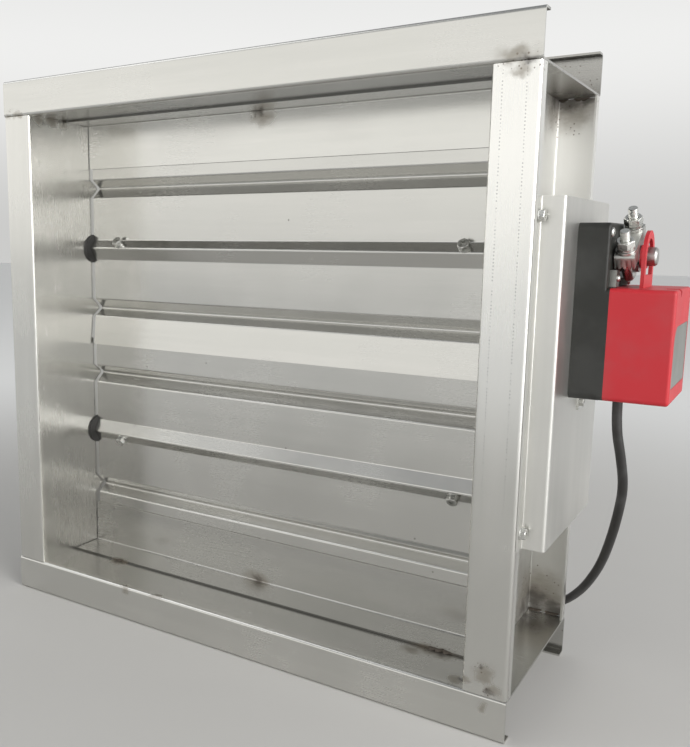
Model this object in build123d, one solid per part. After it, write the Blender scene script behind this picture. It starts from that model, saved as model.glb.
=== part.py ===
from build123d import *
import math
import os

# Motorised volume control damper: a square duct casing with two opposed blades,
# turned through a slotted link by an electric actuator clamped on the upper shaft.
# Millimetres. X runs along the shafts towards the actuator, Y along the airflow, Z up.
# The origin is the middle of the clear opening, halfway through the casing.

# Casing of folded channels
duct_width = 400.0
duct_height = 400.0
casing_depth = 155.0
casing_sheet = 1.5
flange_height = 30.0
lip_length = 10.0
casing_bend = 2.5

# Shafts and their bushings
shaft_diameter = 12.0
shaft_spacing = 174.0
shaft_left_tail = 12.0
shaft_chamfer = 1.0
running_clearance = 0.05
bushing_flange_diameter = 26.0
bushing_flange = 2.0
bushing_barrel_diameter = 18.0
bushing_tail = 6.0
push_clearance = 0.1

# Blades pressed from sheet: V grooves to the rear and a ridge that sits on the shaft
blade_sheet = 1.2
blade_bend = 2.0
blade_end_gap = 2.5
blade_face = 2.9
narrow_face_angle = 37.0
wide_face_angle = 28.0
groove_valley = 56.0
groove_inner_run = 9.0
groove_outer_run = 7.0
groove_depth = 10.0
lap_front = 3.0
lap_behind = 2.5
lap_lean = 3.2

# Stop angles that the outer blade edges close against
stop_leg = 40.0
stop_foot = 32.0
stop_overlap = 19.0
stop_end_gap = 1.0
seat_gap = 0.5

# Bolts that hold the blades on the shafts
blade_bolt_diameter = 5.0
blade_bolt_head = 8.0
blade_bolt_head_height = 3.5
blade_bolt_inset = 36.5
blade_washer_diameter = 9.0
blade_washer = 1.0
blade_spring_washer = 1.3
hole_clearance = 0.2

# Cranks, pins and link bar between the side wall and the linkage cover
crank_radius = 20.0
crank_hub_diameter = 21.0
crank_hub_length = 12.0
crank_arm = 6.0
crank_arm_width = 13.0
crank_gap = 2.0
pin_diameter = 6.0
pin_head_diameter = 9.0
pin_head = 2.0
set_screw_diameter = 5.0
set_screw_inset = 4.25
link_sheet = 3.0
link_width = 13.0
link_gap = 0.5
link_slot_play = 1.0
link_end_margin = 3.2
link_boss_height = 15.0
guide_width = 20.0
guide_spacing = 24.0
guide_spacer_diameter = 10.0
guide_clearance = 0.35
blade_travel = 90.0

# Linkage cover, a hat section screwed to the lips of the side channel
cover_sheet = 1.2
cover_bend = 2.2
cover_fold = 0.6
cover_above_shaft = 36.0
cover_below_shaft = 11.0
cover_stand_off = 15.5
cover_tab_margin = 1.5
cover_front_inset = 10.5
cover_rear_inset = 19.5
cover_screw_inset = 11.5
cover_screw_edge = 5.5
cover_screw_diameter = 4.2
cover_screw_flange_diameter = 8.5
cover_screw_flange = 1.0
cover_screw_head = 7.0
cover_screw_head_height = 4.0
cover_screw_length = 9.0
cover_shaft_hole = 16.0

# Actuator
actuator_width = 66.0
actuator_above_shaft = 21.0
base_thickness = 19.0
base_corner = 5.0
base_edge = 1.5
hub_diameter = 22.0
hub_clearance = 0.4
hub_proud = 0.9
base_pad = 2.0
housing_depth = 38.0
housing_height = 71.0
housing_gap = 3.5
housing_inset = 0.5
housing_wall = 2.2
housing_corner = 3.0
housing_edge = 2.0
notch_width = 8.0
notch_depth = 5.0
notch_length = 9.0
notch_offset = -14.0
housing_screw_diameter = 6.0
housing_screw_head = 1.6
housing_screw_inset = 6.0
housing_screw_shank = 3.2
housing_screw_bite = 9.0
label_width = 58.0
label_height = 38.0
label_rise = 29.5
label_sweep = 12.0
label_recess = 0.4
label_sheet = 0.3
label_slack = 0.2
motor_diameter = 26.0
motor_length = 20.0
motor_rise = 21.5
board_thickness = 1.6
board_width = 50.0
board_depth = 24.0
board_rise = 43.5
strap_width = 10.0
strap_thickness = 1.5
strap_tuck = 10.0
strap_drop = 12.0
strap_screw_diameter = 4.0
strap_screw_head = 7.0
strap_screw_head_height = 2.6

# Shaft clamp on the actuator's hub
clamp_angle = 34.0
clamp_length = 12.0
clamp_gap = 1.1
cradle_wall = 3.9
ubolt_diameter = 6.0
ubolt_reach = 28.0
saddle_width = 38.0
saddle_low = 3.5
saddle_high = 13.0
saddle_corner = 2.0
saddle_lid = 3.0
tooth_count = 4
tooth_depth = 2.0
clamp_washer_diameter = 12.0
clamp_washer = 1.6
clamp_spring_diameter = 10.6
clamp_spring = 1.6
clamp_nut = 10.0
clamp_nut_height = 5.2
stop_depth = 4.0
stop_width = 9.0
stop_lap = 2.0
stop_gap = 0.6
stop_lift = 0.5
stop_screw_head = 4.0
stop_screw_head_height = 1.4
stop_screw_diameter = 2.6
stop_screw_bite = 8.0

# Position indicator: a fixed loop on the housing and a collar on the shaft end
loop_thickness = 2.2
loop_radius = 16.5
loop_band = 5.0
loop_window_low = 8.0
loop_gap = 3.2
collar_diameter = 15.0
collar_length = 3.5
collar_gap = 0.5
shaft_proud = 6.0

# Supply cable, lying coiled on the floor behind the casing
cable_diameter = 6.5
cable_arc_share = 0.45
grommet_diameter = 11.0
grommet_flange = 2.0
cable_out = 6.5
cable_side = -4.0
coil_radius = 36.0
coil_width = 14.0
coil_height = 13.5
coil_corner = 5.0
coil_lift = 1.8
tie_width = 4.5
tie_thickness = 1.2
tie_slack = 0.4
core_diameter = 2.2
core_length = 34.0
core_pitch = 3.1
core_fan = 4.0
cable_route = [
    (271, -4, -5.5), (271, -4, -24), (275, 0, -46), (277, 7, -68), (273.5, 15, -90),
    (268, 27, -113), (260, 44, -138), (249, 63, -161), (237, 84, -181), (222, 103, -199),
    (202, 115, -213), (178, 120.5, -222), (155, 120, -224.5), (132, 120, -224.5),
]

# Values that follow from the driving dimensions
half_width = duct_width / 2
half_height = duct_height / 2
half_depth = casing_depth / 2
outer_x = half_width + flange_height
outer_z = half_height + flange_height
shaft_radius = shaft_diameter / 2
shaft_z = shaft_spacing / 2
wall_outside = half_width + casing_sheet
blade_length = duct_width - 2 * blade_end_gap
stop_rear = -blade_face - seat_gap
crank_start = wall_outside + bushing_tail + crank_gap
crank_end = crank_start + crank_hub_length
link_start = crank_end + link_gap
link_end = link_start + link_sheet
pin_end = link_end + link_gap + pin_head
lower_shaft_end = pin_end + shaft_radius
cover_top = shaft_z + cover_above_shaft
cover_bottom = -shaft_z - cover_below_shaft
cover_face = outer_x + cover_stand_off
base_face = cover_face + base_thickness
housing_face = base_face + base_pad
base_top = shaft_z + actuator_above_shaft
clamp_bore = shaft_radius + running_clearance
cradle_radius = clamp_bore + cradle_wall
stud_side = cradle_radius + ubolt_diameter / 2 + running_clearance
housing_top = shaft_z - stud_side - ubolt_diameter / 2 - housing_gap
housing_bottom = housing_top - housing_height
base_bottom = housing_bottom - housing_inset
cable_exit = (base_face + cable_out, cable_side, housing_bottom - grommet_flange)
clamp_start = base_face + clamp_gap
clamp_end = clamp_start + clamp_length
loop_start = clamp_end + loop_gap
collar_start = clamp_end + collar_gap
upper_shaft_end = collar_start + collar_length + shaft_proud
half_travel = math.radians(blade_travel / 2)
lift = 2 * crank_radius * math.sin(half_travel)
pin_reach = crank_radius * math.cos(half_travel)


def save(node, *solids):
    shape = solids[0] if len(solids) == 1 else Compound(children=list(solids))
    shape.label = node
    export_step(shape, f"parts/{node}.step")


def folded(points, sheet, bend):
    """Section of folded sheet whose outer skin runs through the points, with the metal on its left."""
    skin = FilletPolyline(*points, radius=bend)
    return make_face(skin.offset_2d(sheet, side=Side.LEFT, closed=True))


def along_x(section, start, end):
    """Solid with a Y, Z section between two places on X."""
    return extrude(Plane.YZ.offset(start) * section, end - start)


def rod_x(diameter, start, end, y=0, z=0):
    """Round bar along X."""
    return along_x(Pos(y, z) * Circle(diameter / 2), start, end)


def hexagon(across_flats):
    return RegularPolygon(across_flats / 2, 6, major_radius=False)


# Casing: four lipped channels, the side ones standing between the top and bottom ones
def channel_section(opening):
    """Channel seen along its length: first axis Y, second axis outwards from the opening."""
    lip_edge = half_depth - lip_length
    outer = opening + flange_height
    return folded(
        [(lip_edge, outer), (half_depth, outer), (half_depth, opening),
         (-half_depth, opening), (-half_depth, outer), (-lip_edge, outer)][::-1],
        casing_sheet, casing_bend)


def shaft_places():
    return (shaft_z, -shaft_z)


def bushing_holes(side):
    hole = bushing_barrel_diameter + 2 * push_clearance
    return [rod_x(hole, side * half_width - flange_height, side * half_width + flange_height, 0, z)
            for z in shaft_places()]


def make_casing():
    top = along_x(channel_section(half_height), -outer_x, outer_x)
    bottom = mirror(top, Plane.XY)
    side_wall = extrude(channel_section(half_width), half_height, both=True)
    right = Rot(0, 0, -90) * side_wall
    left = mirror(right, Plane.YZ)
    for hole in bushing_holes(-1):
        left -= hole
    for cut in bushing_holes(1) + guide_cuts() + cover_screw_cuts():
        right -= cut
    save("top_channel", top)
    save("bottom_channel", bottom)
    save("left_channel", left)
    save("right_channel", right)


# Stop angles: a foot welded to the wall and a leg in front of the blade edge
def make_stops():
    section = folded(
        [(stop_rear, half_height - stop_leg), (stop_rear, half_height),
         (stop_rear - stop_foot, half_height)], casing_sheet, casing_bend)
    reach = half_width - stop_end_gap
    top = along_x(section, -reach, reach)
    save("top_stop_angle", top)
    save("bottom_stop_angle", mirror(top, Plane.XY))


# Blades: one section for both, mirrored, with the upper lap leaning forward over the lower one
def ridge_points():
    """Ridge that rests on the shaft with both faces, given from the narrow foot to the wide foot."""
    narrow = math.radians(narrow_face_angle)
    wide = math.radians(wide_face_angle)
    skin = shaft_radius + running_clearance + blade_sheet
    narrow_foot = (skin - blade_face * math.cos(narrow)) / math.sin(narrow)
    wide_foot = -(skin - blade_face * math.cos(wide)) / math.sin(wide)
    apex_y = -skin * (math.sin(narrow) + math.sin(wide)) / math.sin(narrow + wide)
    apex_z = (skin + apex_y * math.cos(narrow)) / math.sin(narrow)
    return [(-blade_face, narrow_foot), (apex_y, apex_z), (-blade_face, wide_foot)]


def groove_points():
    valley = groove_depth - blade_face
    return [(-blade_face, groove_valley + groove_outer_run), (valley, groove_valley),
            (-blade_face, groove_valley - groove_inner_run)]


def blade_section(lap, lean):
    """Blade about its own shaft, from the edge at the stop down to the edge at the other blade."""
    outer_edge = half_height - stop_leg + stop_overlap - shaft_z
    lap_edge = shaft_z + lap
    lower_groove = [(y, -z) for y, z in reversed(groove_points())]
    points = [(-blade_face, outer_edge), *groove_points(), *ridge_points(), *lower_groove,
              (-blade_face - lean, -lap_edge)]
    return folded(points, blade_sheet, blade_bend)


def bolt_plane(x, seat):
    """Plane square to a blade bolt, whose normal points out of the narrow face."""
    pitch = math.radians(narrow_face_angle)
    out = Vector(0, -math.cos(pitch), math.sin(pitch))
    return Plane(Vector(x, 0, shaft_z) + out * seat, x_dir=(1, 0, 0), z_dir=out)


def bolt_places():
    reach = half_width - blade_bolt_inset
    return (-reach, reach)


def bolt_hole(x, diameter):
    return extrude(bolt_plane(x, 0) * Circle(diameter / 2), shaft_diameter, both=True)


def make_blade_bolts(side, flip):
    seat = shaft_radius + blade_sheet + 2 * running_clearance
    ring_hole = blade_bolt_diameter + 2 * hole_clearance
    flat, spring, bolts = [], [], []
    for x in bolt_places():
        washer = Circle(blade_washer_diameter / 2) - Circle(ring_hole / 2)
        flat.append(flip(extrude(bolt_plane(x, seat) * washer, blade_washer)))
        spring_seat = seat + blade_washer
        spring.append(flip(extrude(bolt_plane(x, spring_seat) * washer, blade_spring_washer)))
        head_seat = spring_seat + blade_spring_washer
        head = extrude(bolt_plane(x, head_seat) * hexagon(blade_bolt_head), blade_bolt_head_height)
        shank = extrude(bolt_plane(x, head_seat) * Circle(blade_bolt_diameter / 2),
                        -head_seat - shaft_radius)
        bolts.append(flip(head + shank))
    save(f"{side}_blade_washers", *flat)
    save(f"{side}_blade_spring_washers", *spring)
    save(f"{side}_blade_bolts", *bolts)


def make_blade(side, section, shaft_end, flip):
    blade = along_x(Pos(0, shaft_z) * section, -blade_length / 2, blade_length / 2)
    shaft = rod_x(shaft_diameter, -wall_outside - shaft_left_tail, shaft_end, 0, shaft_z)
    shaft = chamfer(shaft.edges().filter_by(GeomType.CIRCLE), shaft_chamfer)
    for x in bolt_places():
        blade -= bolt_hole(x, blade_bolt_diameter + 2 * hole_clearance)
        shaft -= bolt_hole(x, blade_bolt_diameter + 2 * running_clearance)
    save(f"{side}_blade", flip(blade))
    save(f"{side}_shaft", flip(shaft))
    make_blade_bolts(side, flip)


def upright(shape):
    return shape


def upside_down(shape):
    return mirror(shape, Plane.XY)


# Bushings pushed into the side walls from inside the duct
def make_bushings():
    bore = shaft_diameter + 2 * running_clearance
    ring = Circle(bushing_flange_diameter / 2) - Circle(bore / 2)
    sleeve = Circle(bushing_barrel_diameter / 2) - Circle(bore / 2)
    flange_part = along_x(Pos(0, shaft_z) * ring, half_width - bushing_flange, half_width)
    barrel = along_x(Pos(0, shaft_z) * sleeve, half_width, wall_outside + bushing_tail)
    upper_right = flange_part + barrel
    upper_left = mirror(upper_right, Plane.YZ)
    save("upper_right_bushing", upper_right)
    save("upper_left_bushing", upper_left)
    save("lower_right_bushing", upside_down(upper_right))
    save("lower_left_bushing", upside_down(upper_left))


# Linkage: both crank pins rise and fall together, so one slotted bar couples the blades
def crank_pin_place(side):
    """Pin of the upper crank behind its shaft, of the lower crank in front of it, blades closed."""
    rise = lift / 2
    return (pin_reach, shaft_z + rise) if side == "upper" else (-pin_reach, -shaft_z + rise)


def make_crank(side):
    axis_z = shaft_z if side == "upper" else -shaft_z
    pin_y, pin_z = crank_pin_place(side)
    hub = rod_x(crank_hub_diameter, crank_start, crank_end, 0, axis_z)
    tip = Pos(pin_y, pin_z) * Circle(crank_arm_width / 2)
    root = Pos(0, axis_z) * Circle(crank_arm_width / 2)
    arm = along_x(make_hull((tip + root).edges()), crank_end - crank_arm, crank_end)
    crank = hub + arm
    crank -= rod_x(shaft_diameter + 2 * running_clearance, crank_start, crank_end, 0, axis_z)
    crank -= rod_x(pin_diameter + 2 * running_clearance, crank_start, crank_end, pin_y, pin_z)
    away = Vector(0, -pin_y, axis_z - pin_z).normalized()
    screw_plane = Plane((crank_start + set_screw_inset, 0, axis_z), x_dir=(1, 0, 0), z_dir=away)
    crank -= extrude(screw_plane * Circle(set_screw_diameter / 2 + running_clearance),
                     crank_hub_diameter)
    tip_gap = shaft_radius + running_clearance
    screw = extrude(screw_plane.offset(tip_gap) * Circle(set_screw_diameter / 2),
                    crank_hub_diameter / 2 - tip_gap)
    pin = rod_x(pin_diameter, crank_end - crank_arm, link_end + link_gap, pin_y, pin_z)
    pin += rod_x(pin_head_diameter, link_end + link_gap, pin_end, pin_y, pin_z)
    save(f"{side}_crank", crank)
    save(f"{side}_crank_screw", screw)
    save(f"{side}_crank_pin", pin)


def make_link_bar():
    pin_travel = crank_radius - pin_reach
    slot_height = pin_diameter + 2 * link_slot_play
    slot_length = pin_travel + slot_height
    boss_length = slot_length + 2 * link_end_margin
    middle_z = lift / 2
    slots, ends, outline = [], [], []
    for side in ("upper", "lower"):
        pin_y, pin_z = crank_pin_place(side)
        place = Pos(pin_y + math.copysign(pin_travel / 2, pin_y), pin_z)
        ends.append(place * Circle(link_width / 2))
        outline.append(place * RectangleRounded(boss_length, link_boss_height, link_end_margin))
        slots.append(place * SlotOverall(slot_length, slot_height))
    guide_slot = guide_spacing + lift + pin_diameter + 2 * guide_clearance
    guide = Pos(0, middle_z) * RectangleRounded(guide_width, guide_slot + guide_width, link_end_margin)
    guide_window = Pos(0, middle_z) * Rot(0, 0, 90) * SlotOverall(
        guide_slot, pin_diameter + 2 * guide_clearance)
    plate = make_hull((ends[0] + ends[1]).edges()) + outline[0] + outline[1] + guide
    plate -= slots[0] + slots[1] + guide_window
    save("link_bar", along_x(plate, link_start, link_end))


def guide_places():
    return (guide_spacing / 2, -guide_spacing / 2)


def guide_cuts():
    hole = pin_diameter + 2 * running_clearance
    return [rod_x(hole, half_width, outer_x, 0, z) for z in guide_places()]


def make_guide_studs():
    studs = []
    for z in guide_places():
        stud = rod_x(pin_diameter, half_width, link_end + link_gap, 0, z)
        stud += rod_x(guide_spacer_diameter, wall_outside, link_start - link_gap, 0, z)
        stud += rod_x(pin_head_diameter, link_end + link_gap, pin_end, 0, z)
        studs.append(stud)
    save("link_guide_studs", *studs)


# Linkage cover with its four self-drilling screws
def cover_screw_places():
    side = half_depth - cover_screw_edge
    heights = (cover_top - cover_screw_inset, cover_bottom + cover_screw_inset)
    return [(y, z) for y in (-side, side) for z in heights]


def cover_screw_cuts():
    hole = cover_screw_diameter + 2 * running_clearance
    return [rod_x(hole, outer_x - lip_length, cover_face, y, z) for y, z in cover_screw_places()]


def strap_screw_z():
    return base_bottom - strap_drop / 2


def make_linkage_cover():
    tab_face = outer_x + cover_sheet
    front_leg = -half_depth + cover_front_inset
    rear_leg = half_depth - cover_rear_inset
    tab_edge = half_depth - cover_tab_margin
    section = folded(
        [(tab_face, -tab_edge), (tab_face, front_leg), (cover_face, front_leg),
         (cover_face, rear_leg), (tab_face, rear_leg), (tab_face, tab_edge)],
        cover_sheet, [cover_fold, cover_bend, cover_bend, cover_fold])
    cover = extrude(Plane.XY.offset(cover_bottom) * section, cover_top - cover_bottom)
    cover -= rod_x(cover_shaft_hole, outer_x, cover_face + cover_sheet, 0, shaft_z)
    cover -= rod_x(strap_screw_diameter + 2 * running_clearance, outer_x, cover_face + cover_sheet,
                   0, strap_screw_z())
    for cut in cover_screw_cuts():
        cover -= cut
    save("linkage_cover", cover)
    screws = []
    for y, z in cover_screw_places():
        flange_end = tab_face + cover_screw_flange
        screw = rod_x(cover_screw_flange_diameter, tab_face, flange_end, y, z)
        screw += along_x(Pos(y, z) * hexagon(cover_screw_head), flange_end,
                         tab_face + cover_screw_head_height)
        screw += rod_x(cover_screw_diameter, tab_face - cover_screw_length, tab_face, y, z)
        screws.append(screw)
    save("cover_screws", *screws)


# Actuator: black gear base, red motor housing, and the strap that stops it turning
def box_between(low, high):
    size = [b - a for a, b in zip(low, high)]
    middle = [(a + b) / 2 for a, b in zip(low, high)]
    return Pos(*middle) * Box(*size)


def rounded_case(low, high, corner, edge):
    """Moulded case: corners along X rounded, and the rim of its outer face eased."""
    case = box_between(low, high)
    case = fillet(case.edges().filter_by(Axis.X), corner)
    return fillet(case.faces().sort_by(Axis.X)[-1].edges(), edge)


def housing_screw_places():
    side = actuator_width / 2 - housing_screw_inset
    return [(y, base_top - housing_screw_inset) for y in (-side, side)]


def end_stop_blocks():
    """Low and high corners of both end stops, under the saddle's corner at each end of its travel."""
    blocks = []
    for side, angle in ((-1, clamp_angle), (1, clamp_angle - blade_travel)):
        turn = math.radians(angle)
        y, z = side * saddle_width / 2, saddle_low
        corner_y = y * math.cos(turn) - z * math.sin(turn)
        corner_z = y * math.sin(turn) + z * math.cos(turn) + shaft_z
        inner = corner_y - side * stop_lap
        near, far = sorted((inner, inner + side * stop_width))
        blocks.append(((base_face, near, housing_top + stop_lift),
                       (base_face + stop_depth, far, corner_z - stop_gap)))
    return blocks


def end_stop_places():
    return [((low[1] + high[1]) / 2, (low[2] + high[2]) / 2) for low, high in end_stop_blocks()]


def make_actuator_base():
    half = actuator_width / 2
    base = rounded_case((cover_face, -half, base_bottom), (base_face, half, base_top),
                        base_corner, base_edge)
    pad = box_between((base_face - base_edge, -half, housing_bottom), (housing_face, half, housing_top))
    base += fillet(pad.edges().filter_by(Axis.X), housing_corner)
    base -= rod_x(hub_diameter + 2 * hub_clearance, cover_face, base_face, 0, shaft_z)
    tuck = strap_tuck + hub_clearance
    slack = strap_width / 2 + hub_clearance
    base -= box_between((cover_face, -slack, base_bottom),
                        (cover_face + strap_thickness + hub_clearance, slack, base_bottom + tuck))
    screws, stop_screws = [], []
    stops = [box_between(low, high) for low, high in end_stop_blocks()]
    stop_face = base_face + stop_depth
    for y, z in housing_screw_places():
        deep = base_face - housing_screw_bite
        base -= rod_x(housing_screw_shank + 2 * running_clearance, deep, base_face, y, z)
        screws.append(rod_x(housing_screw_shank, deep, base_face, y, z)
                      + rod_x(housing_screw_diameter, base_face, base_face + housing_screw_head, y, z))
    for number, (y, z) in enumerate(end_stop_places()):
        deep = base_face - stop_screw_bite
        hole = rod_x(stop_screw_diameter + 2 * running_clearance, deep, stop_face, y, z)
        base -= hole
        stops[number] -= hole
        stop_screws.append(rod_x(stop_screw_diameter, deep, stop_face, y, z)
                           + rod_x(stop_screw_head, stop_face, stop_face + stop_screw_head_height, y, z))
    save("actuator_base", base)
    save("actuator_base_screws", *screws)
    save("end_stops", *stops)
    save("end_stop_screws", *stop_screws)


def label_outline(slack):
    """Outline of the label with one corner swept round, seen from the housing's end."""
    outline = Rectangle(label_width + 2 * slack, label_height + 2 * slack)
    swept = outline.vertices().group_by(Axis.Y)[-1].sort_by(Axis.X)[0]
    return Pos(0, housing_bottom + label_rise) * fillet(swept, label_sweep)


def make_actuator_housing():
    half = actuator_width / 2
    end = housing_face + housing_depth
    housing = rounded_case((housing_face, -half, housing_bottom), (end, half, housing_top),
                           housing_corner, housing_edge)
    housing -= box_between(
        (housing_face, -half + housing_wall, housing_bottom + housing_wall),
        (end - housing_wall - notch_length, half - housing_wall, housing_top - housing_wall))
    notch = Polyline((notch_offset - notch_width / 2, housing_top + notch_depth),
                     (notch_offset - notch_width / 2, housing_top),
                     (notch_offset, housing_top - notch_depth),
                     (notch_offset + notch_width / 2, housing_top),
                     (notch_offset + notch_width / 2, housing_top + notch_depth), close=True)
    housing -= along_x(make_face(notch), end - notch_length, end)
    label_floor = end - label_recess
    housing -= along_x(label_outline(label_slack), label_floor, end)
    save("label_plate", along_x(label_outline(0), label_floor, label_floor + label_sheet))
    exit_x, exit_y, exit_z = cable_exit
    neck = grommet_diameter - 2 * grommet_flange
    cable_hole = Pos(exit_x, exit_y, housing_bottom) * Circle(neck / 2 + running_clearance)
    housing -= extrude(cable_hole, housing_wall, both=True)
    save("actuator_housing", housing)
    save("motor", rod_x(motor_diameter, housing_face, housing_face + motor_length,
                        0, housing_bottom + motor_rise))
    board_low = housing_bottom + board_rise
    board = box_between((housing_face, -board_width / 2, board_low),
                        (housing_face + board_depth, board_width / 2, board_low + board_thickness))
    save("circuit_board", board)
    flange_part = Pos(exit_x, exit_y, (exit_z + housing_bottom) / 2) * Cylinder(
        grommet_diameter / 2, housing_bottom - exit_z)
    barrel = Pos(exit_x, exit_y, housing_bottom + housing_wall / 2) * Cylinder(
        neck / 2, housing_wall)
    save("cable_grommet", flange_part + barrel)


def make_strap():
    plate = box_between(
        (cover_face, -strap_width / 2, base_bottom - strap_drop),
        (cover_face + strap_thickness, strap_width / 2, base_bottom + strap_tuck))
    plate -= rod_x(strap_screw_diameter + 2 * running_clearance, cover_face,
                   cover_face + strap_thickness, 0, strap_screw_z())
    save("anti_rotation_strap", plate)
    seat = cover_face + strap_thickness
    screw = along_x(Pos(0, strap_screw_z()) * hexagon(strap_screw_head), seat,
                    seat + strap_screw_head_height)
    screw += rod_x(strap_screw_diameter, cover_face - cover_screw_length, seat, 0, strap_screw_z())
    save("strap_screw", screw)


# Shaft clamp, drawn with its studs upright and then leant forward as it stands when closed
def leant(shape):
    axis = Axis((0, 0, shaft_z), (1, 0, 0))
    return shape.rotate(axis, clamp_angle)


def make_clamp():
    middle_x = (clamp_start + clamp_end) / 2
    at_shaft = Pos(0, shaft_z)
    hub = along_x(at_shaft * (Circle(hub_diameter / 2) - Circle(clamp_bore)), cover_face + hub_clearance,
                  base_face + hub_proud)
    half_ring = (Circle(cradle_radius) - Circle(clamp_bore)) & Pos(0, -cradle_radius / 2) * Rectangle(
        2 * cradle_radius, cradle_radius)
    hub += along_x(at_shaft * half_ring, base_face, clamp_end)
    save("drive_hub", leant(hub))
    top = shaft_z + ubolt_reach
    front_end, front = (middle_x, -stud_side, top), (middle_x, -stud_side, shaft_z)
    bottom = (middle_x, 0, shaft_z - stud_side)
    rear, rear_end = (middle_x, stud_side, shaft_z), (middle_x, stud_side, top)
    path = Line(front_end, front) + ThreePointArc(front, bottom, rear) + Line(rear, rear_end)
    profile = Plane(front_end, z_dir=(0, 0, -1)) * Circle(ubolt_diameter / 2)
    save("clamp_u_bolt", leant(sweep(profile, path)))
    notch_top = clamp_bore * math.sqrt(2)
    notch_half = notch_top - saddle_low
    half = saddle_width / 2
    outline = Polyline((-half, saddle_low), (-notch_half, saddle_low), (0, notch_top),
                       (notch_half, saddle_low), (half, saddle_low), (half, saddle_high),
                       (-half, saddle_high), close=True)
    saddle = along_x(at_shaft * make_face(outline), clamp_start, clamp_end)
    corners = saddle.edges().filter_by(Axis.X).group_by(Axis.Z)[-1]
    saddle = fillet(corners, saddle_corner)
    pitch = clamp_length / tooth_count
    tooth_top = shaft_z + saddle_high - saddle_lid
    for number in range(tooth_count):
        middle = clamp_start + (number + 0.5) * pitch
        for end in (-half, half):
            saddle -= box_between((middle - pitch / 4, end - tooth_depth, shaft_z),
                                  (middle + pitch / 4, end + tooth_depth, tooth_top))
    washers, springs, nuts = [], [], []
    for side in (-stud_side, stud_side):
        stud_hole = Pos(middle_x, side, shaft_z) * Circle(ubolt_diameter / 2 + hole_clearance)
        saddle -= extrude(stud_hole, ubolt_reach)
        ring = Circle(clamp_washer_diameter / 2) - Circle(ubolt_diameter / 2 + hole_clearance)
        nut = hexagon(clamp_nut) - Circle(ubolt_diameter / 2 + running_clearance)
        washer_z = shaft_z + saddle_high
        washers.append(leant(extrude(Pos(middle_x, side, washer_z) * ring, clamp_washer)))
        spring_z = washer_z + clamp_washer
        coil = Circle(clamp_spring_diameter / 2) - Circle(ubolt_diameter / 2 + hole_clearance)
        springs.append(leant(extrude(Pos(middle_x, side, spring_z) * coil, clamp_spring)))
        nut_z = spring_z + clamp_spring
        nuts.append(leant(extrude(Pos(middle_x, side, nut_z) * nut, clamp_nut_height)))
    save("clamp_saddle", leant(saddle))
    save("clamp_washers", *washers)
    save("clamp_spring_washers", *springs)
    save("clamp_nuts", *nuts)


# Position indicator
def make_indicator():
    rise = shaft_z - housing_top
    outer = Circle(loop_radius) + Pos(0, -rise / 2) * Rectangle(2 * loop_radius, rise)
    inner_radius = loop_radius - loop_band
    window = rise - loop_window_low
    inner = Circle(inner_radius) + Pos(0, -window / 2) * Rectangle(2 * inner_radius, window)
    loop = along_x(Pos(0, shaft_z) * (outer - inner), loop_start, loop_start + loop_thickness)
    save("indicator_loop", loop)
    ring = Circle(collar_diameter / 2) - Circle(shaft_radius + running_clearance)
    collar = along_x(Pos(0, shaft_z) * ring, collar_start, collar_start + collar_length)
    save("indicator_collar", collar)


# Supply cable: hanging stretch, tied coil and bare cores
def cable_radii():
    """Largest arc at each corner of the route that both of its runs can hold."""
    points = [Vector(*p) for p in cable_route]
    radii = []
    for before, corner, after in zip(points, points[1:], points[2:]):
        into, out = corner - before, after - corner
        half_turn = math.radians(into.get_angle(out)) / 2
        radii.append(cable_arc_share * min(into.length, out.length) / math.tan(half_turn))
    return radii


def make_cable():
    radii = cable_radii()
    path = FilletPolyline(*cable_route, radius=radii)
    start = Plane(path @ 0, z_dir=path % 0)
    cable = sweep(start * Circle(cable_diameter / 2), path)
    area = math.pi * cable_diameter ** 2 / 4
    print("cable radii", [round(r) for r in radii], "length", round(path.length, 1),
          "volume over section times length", round(cable.volume / (area * path.length), 4))
    save("cable", cable)
    end_x, end_y, end_z = cable_route[-1]
    coil_y = end_y + coil_radius
    coil_low = -outer_z + coil_lift
    section = RectangleRounded(coil_width, coil_height, coil_corner)
    middle_z = coil_low + coil_height / 2
    ring = revolve(Plane.XZ * Pos(coil_radius, middle_z) * section, Axis.Z)
    save("cable_coil", Pos(end_x, coil_y) * ring)
    tie_hole = offset(section, tie_slack)
    tie_rim = offset(section, tie_slack + tie_thickness)
    tie = extrude(Plane.XZ * (tie_rim - tie_hole), tie_width / 2, both=True)
    save("cable_tie", Pos(end_x - coil_radius, coil_y, middle_z) * tie)
    cores = []
    core_z = coil_low + coil_height + core_diameter / 2
    for shift in (-1, 0, 1):
        place = Pos(end_x + coil_radius + shift * core_pitch, coil_y, core_z)
        turned = place * Rot(90, 0, shift * core_fan)
        cores.append(turned * Cylinder(core_diameter / 2, core_length))
    save("cable_cores", *cores)


os.makedirs("parts", exist_ok=True)
make_casing()
make_stops()
make_blade("upper", blade_section(lap_front, lap_lean), upper_shaft_end, upright)
make_blade("lower", blade_section(lap_behind, 0), lower_shaft_end, upside_down)
make_bushings()
make_crank("upper")
make_crank("lower")
make_link_bar()
make_guide_studs()
make_linkage_cover()
make_actuator_base()
make_actuator_housing()
make_strap()
make_clamp()
make_indicator()
make_cable()
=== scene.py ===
import math

import bmesh
import bpy
from mathutils import Matrix, Vector


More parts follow.
